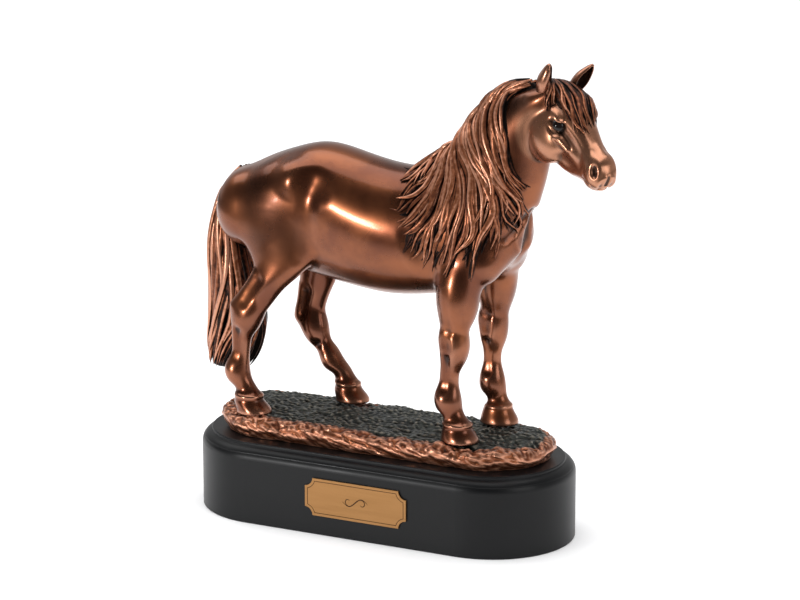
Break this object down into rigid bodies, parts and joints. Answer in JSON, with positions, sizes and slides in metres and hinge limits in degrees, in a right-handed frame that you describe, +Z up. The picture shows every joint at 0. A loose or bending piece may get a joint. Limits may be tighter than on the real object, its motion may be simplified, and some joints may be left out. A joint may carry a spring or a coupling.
{
  "type": "horse statue",
  "caption": "Cast bronze pony with a long mane, standing on a rough turf casting above a deep black oval plinth with a blank notched name plate.",
  "frame": {"origin": "on the floor under the middle of the oval plinth", "axes": "+X the way the pony's body faces, +Y to the pony's left, +Z up; the name plate is on the -Y side"},
  "size_m": [0.2838, 0.1012, 0.2917],
  "materials": {
    "bronze_body": "copper-bronze plating, antiqued brown in the hollows and polished on the high places",
    "bronze_hair": "copper-bronze plating with near-black grooves between polished locks",
    "bronze_ground": "rough cast copper-bronze, green-black on the turf and bright on the rim",
    "eye_glaze": "high gloss",
    "black_lacquer": "satin black lacquer",
    "cover_board": "black stained board",
    "steel": "plain",
    "felt": "black felt",
    "plate_metal": "satin gold with a dark engraved border line",
    "tape": "adhesive foam",
    "insert_brass": "plain turned brass"
  },
  "bodies": {
    "root": {"torso_casting": "bronze_body", "neck_casting": "bronze_body", "head_casting": "bronze_body", "ear_right": "bronze_body", "ear_left": "bronze_body", "eye_right": "eye_glaze", "eye_left": "eye_glaze", "foreleg_right": "bronze_body", "foreleg_left": "bronze_body", "hindleg_right": "bronze_body", "hindleg_left": "bronze_body", "leg_dowels": "steel", "hoof_dowels": "steel", "tail": "bronze_hair", "tail_dowel": "steel", "mane": "bronze_hair", "forelock": "bronze_hair", "ground_casting": "bronze_ground", "plinth_top": "black_lacquer", "plinth_body": "black_lacquer", "bottom_cover": "cover_board", "cover_screws": "steel", "felt_pad": "felt", "name_plate": "plate_metal", "plate_tape": "tape", "ground_bolts": "steel", "bolt_washers": "steel", "threaded_inserts": "insert_brass"}
  },
  "joints": []
}
